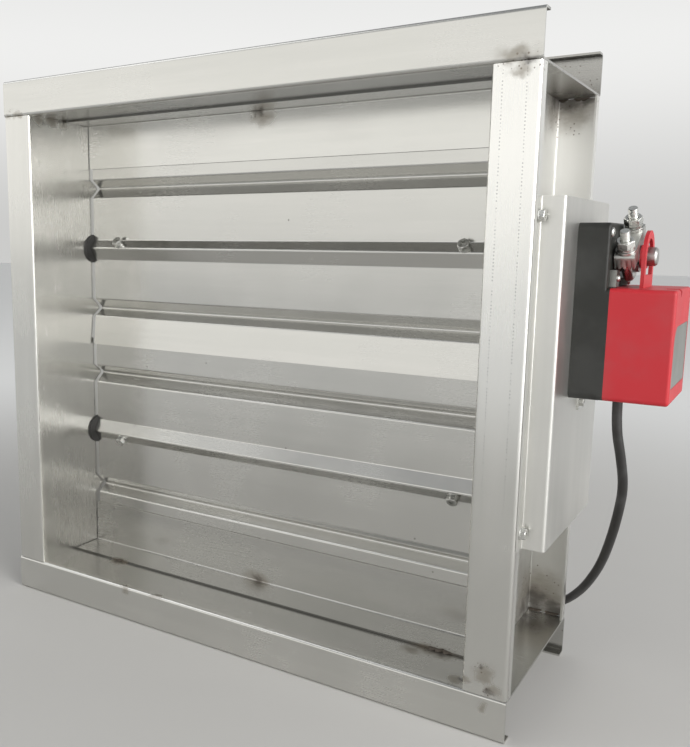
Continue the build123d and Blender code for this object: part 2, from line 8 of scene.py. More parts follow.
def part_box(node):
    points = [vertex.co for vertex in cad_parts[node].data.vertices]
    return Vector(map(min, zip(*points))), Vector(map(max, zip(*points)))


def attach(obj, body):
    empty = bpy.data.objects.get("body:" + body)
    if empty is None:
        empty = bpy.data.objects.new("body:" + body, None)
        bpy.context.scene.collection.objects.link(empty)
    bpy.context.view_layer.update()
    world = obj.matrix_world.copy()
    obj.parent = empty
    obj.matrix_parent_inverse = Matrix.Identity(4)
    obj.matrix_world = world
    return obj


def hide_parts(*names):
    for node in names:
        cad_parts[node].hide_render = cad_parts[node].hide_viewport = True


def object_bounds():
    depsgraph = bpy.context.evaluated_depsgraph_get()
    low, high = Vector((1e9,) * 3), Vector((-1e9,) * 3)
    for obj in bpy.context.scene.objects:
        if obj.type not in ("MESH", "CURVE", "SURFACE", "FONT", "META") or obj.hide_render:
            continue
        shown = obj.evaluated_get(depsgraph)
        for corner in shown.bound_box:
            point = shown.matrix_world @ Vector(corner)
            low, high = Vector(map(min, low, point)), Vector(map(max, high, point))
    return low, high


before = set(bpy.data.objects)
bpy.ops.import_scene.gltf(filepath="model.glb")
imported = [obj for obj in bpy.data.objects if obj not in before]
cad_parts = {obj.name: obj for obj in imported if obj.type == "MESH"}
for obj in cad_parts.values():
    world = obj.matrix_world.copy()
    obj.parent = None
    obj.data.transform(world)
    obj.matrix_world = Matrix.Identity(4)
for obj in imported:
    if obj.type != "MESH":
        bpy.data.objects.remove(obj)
cad_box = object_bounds()


# Casing channels
# Four lipped channels folded from 1.5 mm galvanised sheet. The side channels stand between the top
# and bottom ones and are welded to them, which left spatter and brown and black burns on the zinc.
sheet = 0.0015
duct_edge = -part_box("left_channel")[1].x
web_outside = duct_edge + sheet
front_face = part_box("top_channel")[0].y
rear_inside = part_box("top_channel")[1].y - sheet
foot_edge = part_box("bottom_stop_angle")[0].y


def add(tree, kind, inputs=None, **settings):
    """One node of a tree; an input is a value, or another node's output to link to it."""
    made = tree.nodes.new(kind)
    for key, value in settings.items():
        setattr(made, key, value)
    for key, value in (inputs or {}).items():
        if isinstance(value, bpy.types.NodeSocket):
            tree.links.new(value, made.inputs[key])
        else:
            made.inputs[key].default_value = value
    return made


def blank_material(name):
    material = bpy.data.materials.new(name)
    material.use_nodes = True
    tree = material.node_tree
    place = add(tree, "ShaderNodeTexCoord").outputs["Object"]
    return material, tree, tree.nodes["Principled BSDF"], place


def noise(tree, place, scale, detail=3.0, roughness=0.55, stretch=(1, 1, 1)):
    """Noise on a place that is first scaled along each axis, with a value around a half."""
    mapped = add(tree, "ShaderNodeMapping", {"Vector": place, "Scale": stretch}).outputs["Vector"]
    return add(tree, "ShaderNodeTexNoise", {
        "Vector": mapped, "Scale": scale, "Detail": detail, "Roughness": roughness}).outputs["Fac"]


def between(tree, value, low, high, to_low, to_high):
    """Value carried smoothly from one range to another, and held at its ends."""
    return add(tree, "ShaderNodeMapRange", {
        "Value": value, "From Min": low, "From Max": high, "To Min": to_low, "To Max": to_high},
        interpolation_type="SMOOTHSTEP").outputs["Result"]


def mixed(tree, share, first, second):
    return add(tree, "ShaderNodeMix", {0: share, 6: first, 7: second}, data_type="RGBA").outputs[2]


def maths(tree, operation, first, second=0.0):
    return add(tree, "ShaderNodeMath", {0: first, 1: second}, operation=operation).outputs["Value"]


def bumped(tree, shader, height, strength, distance):
    bump = add(tree, "ShaderNodeBump", {"Height": height, "Strength": strength, "Distance": distance})
    tree.links.new(bump.outputs["Normal"], shader.inputs["Normal"])


def vectors(tree, operation, first, second=(0.0, 0.0, 0.0)):
    return add(tree, "ShaderNodeVectorMath", {0: first, 1: second}, operation=operation).outputs


def weld_heat(tree, place, spots, spread=1.0):
    """How strongly the nearest weld has burnt a place, from 0 to 1, with a ragged edge.

    A spot is given by its x, y and z, its reach, and how many times longer it is along x.
    """
    ragged_by = 0.016
    wobble = add(tree, "ShaderNodeTexNoise", {"Vector": place, "Scale": 95.0, "Detail": 5.0}).outputs["Color"]
    centred = vectors(tree, "SUBTRACT", wobble, (0.5, 0.5, 0.5))["Vector"]
    shift = vectors(tree, "MULTIPLY", centred, (ragged_by, ragged_by, ragged_by))["Vector"]
    ragged = vectors(tree, "ADD", place, shift)["Vector"]
    heat = 0.0
    for x, y, z, reach, length in spots:
        away = vectors(tree, "SUBTRACT", ragged, (x, y, z))["Vector"]
        drawn_in = vectors(tree, "MULTIPLY", away, (1 / length, 1.0, 1.0))["Vector"]
        distance = vectors(tree, "LENGTH", drawn_in)["Value"]
        heat = maths(tree, "MAXIMUM", heat, between(tree, distance, 0.0, reach * spread, 1.0, 0.0))
    return heat


def scattered(tree, place, scale, core, rim):
    """Round dots, one in each cell of a scatter, and the random colour of each cell."""
    cells = add(tree, "ShaderNodeTexVoronoi", {"Vector": place, "Scale": scale})
    chance = add(tree, "ShaderNodeSeparateColor", {"Color": cells.outputs["Color"]}).outputs
    return between(tree, cells.outputs["Distance"], core, rim, 1.0, 0.0), chance


def inked(tree, place, axes, line_x):
    """Row of faint dots that a marking wheel left down the front of an upright flange."""
    dots_per_metre = 460.0
    fine = noise(tree, place, 330.0, 6.0, 0.7)
    aside = maths(tree, "ABSOLUTE", maths(tree, "SUBTRACT", axes["X"], line_x))
    step = maths(tree, "FRACT", maths(tree, "MULTIPLY", axes["Z"], dots_per_metre))
    dots = maths(tree, "MULTIPLY", between(tree, aside, 0.0002, 0.0005, 1.0, 0.0),
                 between(tree, step, 0.35, 0.50, 1.0, 0.0))
    in_front = between(tree, axes["Y"], front_face + 0.4 * sheet, front_face + 0.8 * sheet, 1.0, 0.0)
    upper = between(tree, axes["Z"], -0.09, -0.03, 0.0, 1.0)
    worn = between(tree, fine, 0.40, 0.54, 0.0, 1.0)
    for share in (in_front, upper, worn):
        dots = maths(tree, "MULTIPLY", dots, share)
    return dots


def seam_shade_line(tree, axes):
    """Painted shade: a dark line in the seam along the edge of a stop angle's foot."""
    foot_top = duct_edge - sheet
    aside = maths(tree, "ABSOLUTE", maths(tree, "SUBTRACT", axes["Y"], foot_edge))
    across = maths(tree, "ABSOLUTE", axes["X"])
    height = maths(tree, "ABSOLUTE", axes["Z"])
    near = maths(tree, "MULTIPLY", between(tree, height, foot_top - 0.0009, foot_top - 0.0001, 0.0, 1.0),
                 between(tree, height, duct_edge + 0.0003, duct_edge + 0.0008, 1.0, 0.0))
    line = maths(tree, "MULTIPLY", between(tree, aside, 0.0002, 0.0008, 1.0, 0.0), near)
    return maths(tree, "MULTIPLY", line, between(tree, across, duct_edge - 0.001, duct_edge, 0.75, 0.0))


def burnt(tree, place, colour, stains, scorches):
    """A colour with weld spatter, stains and soot over it, and how much stain and soot there is."""
    spatter_brown, stain_brown = (0.10, 0.07, 0.055, 1.0), (0.27, 0.235, 0.185, 1.0)
    soot_black = (0.060, 0.050, 0.042, 1.0)
    drops, chance = scattered(tree, place, 330.0, 0.16, 0.26)
    thrown = maths(tree, "MULTIPLY", chance["Green"], weld_heat(tree, place, scorches, 3.2))
    spatter = maths(tree, "MULTIPLY", drops, between(tree, thrown, 0.34, 0.38, 0.0, 1.0))
    smeared = noise(tree, place, 70.0, 6.0, 0.75, (0.5, 1.0, 1.6))
    uneven = maths(tree, "ADD", maths(tree, "MULTIPLY", smeared, 1.5), 0.2)
    brown = maths(tree, "MULTIPLY", weld_heat(tree, place, stains), uneven)
    black = maths(tree, "MULTIPLY", weld_heat(tree, place, scorches), uneven)
    stain = between(tree, brown, 0.0, 1.0, 0.0, 0.62)
    soot = between(tree, black, 0.10, 0.95, 0.0, 0.74)
    colour = mixed(tree, maths(tree, "MULTIPLY", spatter, 0.70), colour, spatter_brown)
    colour = mixed(tree, stain, colour, stain_brown)
    return mixed(tree, soot, colour, soot_black), stain, soot


def zinc_sheet(name, grain, pale, stains=(), scorches=(), ink=(), rough=0.20, painted_shade=(0.0, 0.0),
               outside=0.0, painted_light=0.0, seam=False):
    """Galvanised sheet: rolled along one axis, cloudy, with handling streaks, specks and weld burns.

    Painted shade darkens it inside the duct, by its two shares at the bottom and at the top, and outside the
    duct's walls it is rougher by the given amount. Painted light whitens the upper part of the right-hand
    channel.
    """
    shade_grey, painted_light_white = (0.30, 0.295, 0.28, 1.0), (0.95, 0.945, 0.92, 1.0)
    seam_shade_black, speck_brown = (0.06, 0.058, 0.052, 1.0), (0.12, 0.11, 0.10, 1.0)
    ink_grey = (0.10, 0.10, 0.11, 1.0)
    light_tint, dull_tint = (1.0, 0.99, 0.95), (0.93, 0.925, 0.885)
    web_core, web_skin = duct_edge + 0.4 * sheet, duct_edge + 0.8 * sheet
    material, tree, shader, place = blank_material(name)
    axes = add(tree, "ShaderNodeSeparateXYZ", {"Vector": place}).outputs
    behind_flange = between(tree, axes["Y"], front_face + 0.0020, front_face + 0.0075, 0.0, 1.0)
    along = [3.0 if axis == grain else 60.0 for axis in "xyz"]
    rolled = noise(tree, place, 22.0, 4.0, 0.6, along)
    streaks = noise(tree, place, 1.4, 4.0, 0.6, along)
    cloud = noise(tree, place, 9.0, 4.0, 0.55)
    light = tuple(pale * tint for tint in light_tint) + (1.0,)
    dull = tuple(pale * tint for tint in dull_tint) + (1.0,)
    tone = maths(tree, "ADD", maths(tree, "MULTIPLY", cloud, 0.6), maths(tree, "MULTIPLY", streaks, 0.4))
    colour = mixed(tree, between(tree, tone, 0.40, 0.62, 0.0, 1.0), dull, light)
    roughness = maths(tree, "ADD", between(tree, cloud, 0.35, 0.65, rough - 0.03, rough + 0.04),
                      maths(tree, "MULTIPLY", rolled, 0.08))
    # Painted shade: dark grey mixed in behind the front flanges, by height, with one share at the bottom and
    # one at the top.
    if any(painted_shade):
        dulled = maths(tree, "MULTIPLY", between(tree, axes["Z"], -0.20, 0.08, *painted_shade), behind_flange)
        colour = mixed(tree, dulled, colour, shade_grey)
    # Painted light: near-white mixed into the right channel outside the duct's inner skin, towards its top.
    if painted_light:
        white = maths(tree, "MULTIPLY", between(tree, axes["X"], web_core, web_skin, 0.0, painted_light),
                      between(tree, axes["Z"], -0.06, 0.03, 0.0, 1.0))
        colour = mixed(tree, white, colour, painted_light_white)
    # Painted shade: a dark line along the seam at a stop angle's foot.
    if seam:
        colour = mixed(tree, seam_shade_line(tree, axes), colour, seam_shade_black)
    dots, chance = scattered(tree, place, 60.0, 0.03, 0.06)
    speck = maths(tree, "MULTIPLY", dots, between(tree, chance["Red"], 0.90, 0.91, 0.0, 1.0))
    colour = mixed(tree, maths(tree, "MULTIPLY", speck, 0.6), colour, speck_brown)
    for line_x in ink:
        marks = maths(tree, "MULTIPLY", inked(tree, place, axes, line_x), 0.42)
        colour = mixed(tree, marks, colour, ink_grey)
    if outside:
        aside = between(tree, maths(tree, "ABSOLUTE", axes["X"]), web_core, web_skin, 0.0, outside)
        roughness = maths(tree, "ADD", roughness, maths(tree, "MULTIPLY", aside, behind_flange))
    if stains:
        colour, stain, soot = burnt(tree, place, colour, stains, scorches)
        roughness = maths(tree, "ADD", roughness, maths(tree, "MULTIPLY", stain, 0.25))
        bare = maths(tree, "SUBTRACT", 1.0, maths(tree, "MULTIPLY", soot, 0.6))
        tree.links.new(bare, shader.inputs["Metallic"])
    else:
        shader.inputs["Metallic"].default_value = 1.0
    tree.links.new(colour, shader.inputs["Base Color"])
    tree.links.new(roughness, shader.inputs["Roughness"])
    bumped(tree, shader, rolled, 0.025, 0.0003)
    return material


def dress(material, *nodes):
    """Gives CAD nodes a material in place of their plain one."""
    for node in nodes:
        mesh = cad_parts[node].data
        mesh.materials.clear()
        mesh.materials.append(material)


corner_stains = [
    (0.214, front_face, 0.204, 0.009, 2.4), (0.216, front_face, 0.196, 0.006, 2.8),
    (-0.224, front_face, 0.2025, 0.006, 1.2), (-0.212, front_face, 0.2005, 0.005, 1.6),
    (0.213, front_face, -0.184, 0.013, 1.0), (0.221, front_face, -0.194, 0.010, 1.0),
    (0.214, front_face, -0.208, 0.007, 1.0), (0.203, front_face, -0.192, 0.006, 1.0),
    (-0.099, front_face, -0.2008, 0.006, 1.8), (-0.066, front_face, -0.2008, 0.006, 1.8),
    (-duct_edge, -0.066, 0.1985, 0.009, 1.0), (-duct_edge, -0.050, 0.1985, 0.009, 1.0),
    (-duct_edge, -0.036, 0.1985, 0.008, 1.0),
    (0.212, rear_inside, 0.193, 0.024, 1.4), (web_outside, 0.058, 0.192, 0.026, 1.0),
    (0.212, rear_inside, -0.182, 0.030, 1.2), (web_outside, 0.058, -0.184, 0.030, 1.0),
]
corner_scorches = [
    (0.222, front_face, 0.2005, 0.006, 1.8), (0.207, front_face, 0.2015, 0.004, 2.0),
    (0.219, front_face, -0.197, 0.006, 1.0), (0.212, front_face, -0.180, 0.005, 1.0),
    (-0.066, front_face, -0.2004, 0.003, 2.0), (-0.1985, -0.036, 0.1995, 0.004, 1.0),
    (0.209, rear_inside, 0.199, 0.014, 1.4), (0.221, rear_inside, 0.199, 0.010, 1.0),
    (0.207, rear_inside, -0.191, 0.018, 1.1), (0.222, rear_inside, -0.195, 0.014, 1.0),
    (web_outside, 0.064, 0.198, 0.014, 1.0), (web_outside, 0.058, -0.194, 0.018, 1.0),
]
stop_stains = [
    (-0.143, -0.036, -duct_edge, 0.009, 1.6), (0.165, -0.038, -duct_edge, 0.011, 2.6),
    (0.150, -0.045, -duct_edge, 0.009, 1.4), (0.192, -0.068, -duct_edge, 0.010, 0.8),
    (-0.010, -0.003, -0.197, 0.014, 1.5), (-0.007, -0.004, 0.194, 0.013, 1.6),
]
stop_scorches = [
    (-0.143, -0.036, -duct_edge, 0.004, 1.4), (0.168, -0.037, -duct_edge, 0.007, 2.4),
    (0.196, -0.066, -duct_edge, 0.006, 0.8), (-0.010, -0.003, -0.197, 0.007, 1.5),
    (-0.012, -0.004, 0.197, 0.006, 1.6),
]
burns = (corner_stains + stop_stains, corner_scorches + stop_scorches)
# Painted shade darkens the top, bottom and left channels inside the duct, the left one towards the bottom; a
# painted dark line of shade runs along the stop angles' feet on the top and bottom ones, and painted light
# whitens the upper part of the right channel.
dress(zinc_sheet("zinc_sheet_top", "x", 0.64, *burns, painted_shade=(0.0, 0.7), seam=True), "top_channel")
dress(zinc_sheet("zinc_sheet_bottom", "x", 0.665, *burns, painted_shade=(0.28, 0.0), seam=True), "bottom_channel")
dress(zinc_sheet("zinc_sheet_left", "z", 0.67, *burns, painted_shade=(0.5, 0.0), outside=0.2), "left_channel")
dress(zinc_sheet("zinc_sheet_right", "z", 0.68, *burns, ink=(0.207, 0.2215), outside=0.2, painted_light=0.6),
      "right_channel")


# Stop angles
# Two angles of the same galvanised sheet, the length of the opening. Each has its foot tack welded to
# the channel's web, and the closed blade's edge lies behind its leg.
# Painted shade darkens the lower angle, and a painted dark line of shade runs along each foot's edge.
dress(zinc_sheet("zinc_stop_angle", "x", 0.66, stop_stains, stop_scorches, painted_shade=(0.3, 0.0), seam=True),
      "top_stop_angle", "bottom_stop_angle")


# Blades
# Two blades pressed from 1.2 mm galvanised sheet, with V grooves for stiffness and a ridge that
# lies on the shaft. They keep the plain finish of the sheet, with no welds on it.
# Painted shade darkens the upper blade a little towards its top.
dress(zinc_sheet("zinc_blade", "x", 0.645, painted_shade=(0.0, 0.12)), "upper_blade", "lower_blade")


# Shafts and linkage
# Shafts of drawn 12 mm steel bar, with cranks and a flat slotted bar under the cover, all bare and thinly
# oiled with faint drawing lines. The pins, set screws, guide studs and the actuator's strap are plated.
def bare_steel(name, colour, rough):
    """Bare or thinly plated steel: cloudy, with drawing lines along X."""
    material, tree, shader, place = blank_material(name)
    drawn = noise(tree, place, 24.0, 4.0, 0.6, (2, 50, 50))
    cloud = noise(tree, place, 30.0)
    darker = tuple(0.72 * c for c in colour[:3]) + (1.0,)
    clean = between(tree, cloud, 0.38, 0.62, 0.0, 1.0)
    tree.links.new(mixed(tree, clean, darker, colour), shader.inputs["Base Color"])
    shader.inputs["Metallic"].default_value = 1.0
    tree.links.new(between(tree, drawn, 0.3, 0.7, rough - 0.06, rough + 0.10), shader.inputs["Roughness"])
    bumped(tree, shader, drawn, 0.08, 0.0003)
    return material


dress(bare_steel("bare_steel", (0.56, 0.55, 0.53, 1.0), 0.32), "upper_shaft", "lower_shaft", "upper_crank",
      "lower_crank", "link_bar", "drive_hub")
dress(bare_steel("zinc_plated_pins", (0.66, 0.66, 0.63, 1.0), 0.26), "upper_crank_pin", "lower_crank_pin",
      "upper_crank_screw", "lower_crank_screw", "link_guide_studs", "anti_rotation_strap")


# Bushings
# Flanged bushings moulded from black nylon, in which the shafts run. They are pushed into the holes of
# the side walls from inside the duct and held by their flanges.
def moulded(name, colour, rough, grain):
    """Moulded plastic: an eroded surface from the mould, slightly cloudy, a little dusty."""
    material, tree, shader, place = blank_material(name)
    eroded = noise(tree, place, grain, 2.0)
    cloud = noise(tree, place, 26.0, 4.0)
    dulled = tuple(0.88 * c + 0.02 for c in colour[:3]) + (1.0,)
    dusting = between(tree, cloud, 0.40, 0.66, 0.0, 1.0)
    tree.links.new(mixed(tree, dusting, colour, dulled), shader.inputs["Base Color"])
    tree.links.new(between(tree, cloud, 0.3, 0.7, rough - 0.05, rough + 0.08), shader.inputs["Roughness"])
    bumped(tree, shader, eroded, 0.12, 0.0003)
    return material


dress(moulded("black_nylon", (0.022, 0.021, 0.020, 1.0), 0.5, 2200.0), "upper_left_bushing",
      "upper_right_bushing", "lower_left_bushing", "lower_right_bushing")


# Linkage cover
# Hat section folded from 1.2 mm galvanised sheet, which keeps fingers and dirt off the linkage. Its
# tabs lie on the lips of the right channel and are held there by four screws.
dress(zinc_sheet("zinc_cover", "z", 0.70, rough=0.36), "linkage_cover")


# Blade screws
# Zinc plated combination screws of 5 mm with a hexagon head, a cross recess, a split spring washer and a
# flat washer. Two hold each blade's ridge to its shaft.
zinc_plating = bare_steel("zinc_plating", (0.76, 0.76, 0.73, 1.0), 0.30)
ring_steps = 72


def round_rim(radius):
    return lambda angle: radius


def round_rims(*rims):
    """Circles by their height and radius."""
    return [(height, round_rim(radius)) for height, radius in rims]


def hex_rim(flats, corner=1.0):
    """Hexagon by its width across flats, with its corners turned down to a radius."""
    sixth = math.pi / 3
    return lambda angle: min(flats / 2 / math.cos((angle + sixth / 2) % sixth - sixth / 2), corner)


def cross_rim(arm, half):
    """Cross recess by the length of its arms and half of their width."""
    tiny = 1e-6

    def reach(along, across):
        return min(arm / max(abs(along), tiny), half / max(abs(across), tiny))
    return lambda angle: max(reach(math.cos(angle), math.sin(angle)), reach(math.sin(angle), math.cos(angle)))


def turned_form(form, rims, hollow=False):
    """Rims up the Z axis, joined to a closed skin: capped at both ends, or going round a hole."""
    loops = []
    for height, rim in rims:
        angles = [2 * math.pi * step / ring_steps for step in range(ring_steps)]
        loops.append([form.verts.new((rim(a) * math.cos(a), rim(a) * math.sin(a), height)) for a in angles])
    pairs = list(zip(loops, loops[1:]))
    if hollow:
        pairs.append((loops[-1], loops[0]))
    else:
        form.faces.new(loops[0][::-1])
        form.faces.new(loops[-1])
    for low, high in pairs:
        for step in range(ring_steps):
            after = (step + 1) % ring_steps
            form.faces.new((low[step], low[after], high[after], high[step]))


def plain_washer(form, low, high, outside, bore):
    """Flat washer with eased edges."""
    ease = 0.00012
    turned_form(form, round_rims(
        (low, bore), (low, outside - ease), (low + ease, outside),
        (high - ease, outside), (high, outside - ease), (high, bore)), hollow=True)


def split_washer(form, low, thick, outside, bore, rise):
    """Spring washer cut through, with one end of the cut standing higher than the other."""
    sections = []
    for step in range(ring_steps - 2):
        angle = 2 * math.pi * (step + 1.5) / ring_steps
        lift = rise * step / (ring_steps - 3)
        sections.append([form.verts.new((r * math.cos(angle), r * math.sin(angle), low + lift + z))
                         for r, z in ((bore, 0), (outside, 0), (outside, thick), (bore, thick))])
    for one, two in zip(sections, sections[1:]):
        for side in range(4):
            after = (side + 1) % 4
            form.faces.new((one[side], two[side], two[after], one[after]))
    form.faces.new(sections[0])
    form.faces.new(sections[-1][::-1])


def hex_head(form, low, high, flats, foot=()):
    """Hexagon head with turned corners and a cross recess; the foot's rims come below it."""
    ease = 0.0006
    half = flats / 2
    turned_form(form, list(foot) + [
        (low, hex_rim(flats, half * 1.08)), (low + ease / 2, hex_rim(flats)), (high - ease, hex_rim(flats)),
        (high - ease / 2, hex_rim(flats, half * 1.07)), (high, hex_rim(flats, half * 0.96)),
        (high, cross_rim(half * 0.60, half * 0.15)), (high - 3 * ease, cross_rim(half * 0.50, half * 0.11))])


def template(name, form):
    """Object of a finished form, whose mesh is set wherever it is needed."""
    mesh = bpy.data.meshes.new(name)
    form.to_mesh(mesh)
    form.free()
    return bpy.data.objects.new(name, mesh)


def fastener_tree():
    """Geometry nodes that stand one template on every point, turned to the point's own direction."""
    tree = bpy.data.node_groups.new("fastener_set", "GeometryNodeTree")
    tree.interface.new_socket("Points", in_out="INPUT", socket_type="NodeSocketGeometry")
    tree.interface.new_socket("Template", in_out="INPUT", socket_type="NodeSocketObject")
    tree.interface.new_socket("Finish", in_out="INPUT", socket_type="NodeSocketMaterial")
    tree.interface.new_socket("Set", in_out="OUTPUT", socket_type="NodeSocketGeometry")
    given = add(tree, "NodeGroupInput").outputs
    part = add(tree, "GeometryNodeObjectInfo", {"Object": given["Template"]}).outputs["Geometry"]
    out = add(tree, "GeometryNodeInputNamedAttribute", {"Name": "out"}, data_type="FLOAT_VECTOR")
    turn = add(tree, "GeometryNodeInputNamedAttribute", {"Name": "turn"}, data_type="FLOAT")
    stood = add(tree, "FunctionNodeAlignRotationToVector", {"Vector": out.outputs["Attribute"]}, axis="Z")
    spin = add(tree, "FunctionNodeAxisAngleToRotation", {
        "Axis": (0.0, 0.0, 1.0), "Angle": turn.outputs["Attribute"]}).outputs["Rotation"]
    facing = add(tree, "FunctionNodeRotateRotation", {
        "Rotation": stood.outputs["Rotation"], "Rotate By": spin}, rotation_space="LOCAL")
    placed = add(tree, "GeometryNodeInstanceOnPoints", {
        "Points": given["Points"], "Instance": part, "Rotation": facing.outputs["Rotation"]})
    real = add(tree, "GeometryNodeRealizeInstances", {"Geometry": placed.outputs["Instances"]})
    done = add(tree, "GeometryNodeSetMaterial", {
        "Geometry": real.outputs["Geometry"], "Material": given["Finish"]})
    add(tree, "NodeGroupOutput", {"Set": done.outputs["Geometry"]})
    return tree


fastener_set = fastener_tree()


def fasten(name, part, body, places, *nodes, finish=zinc_plating, slot="zinc_fastener"):
    """Puts a template at places of (point, direction, turn), in the stead of CAD nodes of a body."""
    mesh = bpy.data.meshes.new(name)
    mesh.from_pydata([place[0] for place in places], [], [])
    mesh.attributes.new("out", "FLOAT_VECTOR", "POINT")
    mesh.attributes.new("turn", "FLOAT", "POINT")
    for number, (point, direction, angle) in enumerate(places):
        mesh.attributes["out"].data[number].vector = direction
        mesh.attributes["turn"].data[number].value = angle
    piece = bpy.data.objects.new(name, mesh)
    bpy.context.scene.collection.objects.link(piece)
    modifier = piece.modifiers.new("set", "NODES")
    modifier.node_group = fastener_set
    inputs = {item.name: item.identifier for item in fastener_set.interface.items_tree}
    modifier[inputs["Template"]] = part
    modifier[inputs["Finish"]] = finish
    seen = piece.evaluated_get(bpy.context.evaluated_depsgraph_get())
    realised = bpy.data.meshes.new_from_object(seen)
    piece.modifiers.clear()
    piece.data = realised
    realised.name = name
    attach(piece, body)
    if nodes:
        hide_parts(*nodes)


ridge_top, washer_top, head_low, head_high = 0.0073, 0.0083, 0.0096, 0.0131
shank, shank_tip, shank_end, washer_bore = 0.0025, 0.0021, -0.006, 0.0027
form = bmesh.new()
plain_washer(form, low=ridge_top, high=washer_top, outside=0.0045, bore=washer_bore)
split_washer(form, low=washer_top, thick=0.0009, outside=0.0044, bore=washer_bore, rise=0.0004)
hex_head(form, low=head_low, high=head_high, flats=0.008, foot=round_rims(
    (shank_end, shank_tip), (shank_end + shank - shank_tip, shank), (head_low, shank)))
blade_screw = template("blade_screw", form)
shaft_height, screw_side = 0.087, 0.1635
lean = math.radians(37)
for side, sign in (("upper", 1), ("lower", -1)):
    outward = (0.0, -math.cos(lean), sign * math.sin(lean))
    fasten(f"{side}_blade_screws", blade_screw, f"{side}_blade_set",
           [((-screw_side, 0.0, sign * shaft_height), outward, 0.4),
            ((screw_side, 0.0, sign * shaft_height), outward, 1.1)],
           f"{side}_blade_bolts", f"{side}_blade_washers", f"{side}_blade_spring_washers")


# Tack welds
# Short beads of filler that join the stop angle's foot to the bottom channel, and the right channel's rear
# flange to the top and bottom ones. They were left as they set, rough and scaled brown.
form = bmesh.new()
turned_form(form, round_rims((-0.0006, 0.0018), (0.0001, 0.0020), (0.0005, 0.0015), (0.0007, 0.0008),
                             (0.00075, 0.0003)))
bead_length, bead_width, bead_lumps, lump_height = 1.7, 0.8, 3.0, 0.22
for corner in form.verts:
    swell = 1.0 + lump_height * math.sin(bead_lumps * math.atan2(corner.co.y, corner.co.x) + 0.8)
    corner.co.x *= bead_length * swell
    corner.co.y *= bead_width * swell
bead = template("weld_bead", form)
floor_top, roof_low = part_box("bottom_stop_angle")[0].z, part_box("top_stop_angle")[1].z
upwards, downwards = (0.0, -0.7, 0.7), (0.0, -0.7, -0.7)
foot_rise, corner_gap = 0.0008, 0.0006
seams = [((x, foot_edge, floor_top + foot_rise), upwards, turn) for x, turn in (
    (-0.143, 0.2), (0.163, 0.1), (0.168, 0.3), (0.174, 0.0))]
seams += [((x, rear_inside - corner_gap, floor_top + corner_gap), upwards, turn) for x, turn in (
    (0.205, 0.1), (0.209, 0.3), (0.218, 0.0), (0.222, 0.2))]
seams += [((x, rear_inside - corner_gap, roof_low - corner_gap), downwards, turn) for x, turn in (
    (0.2045, 0.1), (0.2155, 0.0), (0.2195, 0.2))]
weld_metal = bare_steel("weld_metal", (0.15, 0.13, 0.11, 1.0), 0.55)
fasten("tack_welds", bead, "casing", seams, finish=weld_metal, slot="casing_steel")


# Cover, strap and actuator screws
# Self-drilling flange screws of the cover, the strap's hexagon screw, and the small recessed screws of the
# actuator's base and end stops. All are zinc plated.
flange_top, cover_head, drill_length = 0.001, 0.004, 0.009
form = bmesh.new()
hex_head(form, low=flange_top, high=cover_head, flats=0.007, foot=round_rims(
    (-drill_length, 0.0004), (-0.005, 0.0021), (0.0, 0.0021), (0.0, 0.0040), (0.0003, 0.00425),
    (0.0007, 0.00425), (flange_top, 0.0041)))
cover_screw = template("cover_screw", form)
tab_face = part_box("cover_screws")[1].x - cover_head
sideways = (1.0, 0.0, 0.0)
cover_low, cover_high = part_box("linkage_cover")
screw_side_y, screw_edge = 0.072, 0.0115
fasten("cover_flange_screws", cover_screw, "casing",
       [((tab_face, y, z), sideways, turn) for y, z, turn in (
           (-screw_side_y, cover_high.z - screw_edge, 0.2), (screw_side_y, cover_high.z - screw_edge, 0.9),
           (-screw_side_y, cover_low.z + screw_edge, 0.6), (screw_side_y, cover_low.z + screw_edge, 1.4))],
       "cover_screws")
strap_head = 0.0026
form = bmesh.new()
hex_head(form, low=0.0, high=strap_head, flats=0.007, foot=round_rims((-0.009, 0.0018), (0.0, 0.002)))
strap_low, strap_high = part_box("strap_screw")
fasten("strap_hexagon_screw", template("strap_hexagon", form), "casing",
       [((strap_high.x - strap_head, 0.0, (strap_low.z + strap_high.z) / 2), sideways, 0.3)], "strap_screw")


def pan_head(radius, height, shank, deep):
    """Low domed head with a cross recess on a plain shank."""
    form = bmesh.new()
    dome = [(height * share, round_rim(radius * width)) for share, width in (
        (0.0, 0.97), (0.12, 1.0), (0.45, 0.97), (0.72, 0.86), (0.9, 0.70), (1.0, 0.52))]
    recess = [(height, cross_rim(radius * 0.46, radius * 0.11)),
              (height * 0.4, cross_rim(radius * 0.36, radius * 0.08))]
    turned_form(form, round_rims((-deep, shank * 0.7), (-deep + shank, shank), (0.0, shank)) + dome + recess)
    return template("pan_head", form)


base_face, stop_face = (corner.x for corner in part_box("end_stops"))
base_screw_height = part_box("actuator_base")[1].z - 0.006
base_screw = pan_head(radius=0.003, height=0.0016, shank=0.0016, deep=0.009)
fasten("base_pan_screws", base_screw, "casing",
       [((base_face, y, base_screw_height), sideways, turn) for y, turn in ((-0.027, 0.5), (0.027, 1.2))],
       "actuator_base_screws")
stop_radius = 0.002
stop_low, stop_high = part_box("end_stop_screws")
stop_screw = pan_head(radius=stop_radius, height=0.0014, shank=0.0013, deep=0.012)
fasten("stop_pan_screws", stop_screw, "casing",
       [((stop_face, stop_low.y + stop_radius, stop_high.z - stop_radius), sideways, 0.2),
        ((stop_face, stop_high.y - stop_radius, stop_low.z + stop_radius), sideways, 0.8)], "end_stop_screws")


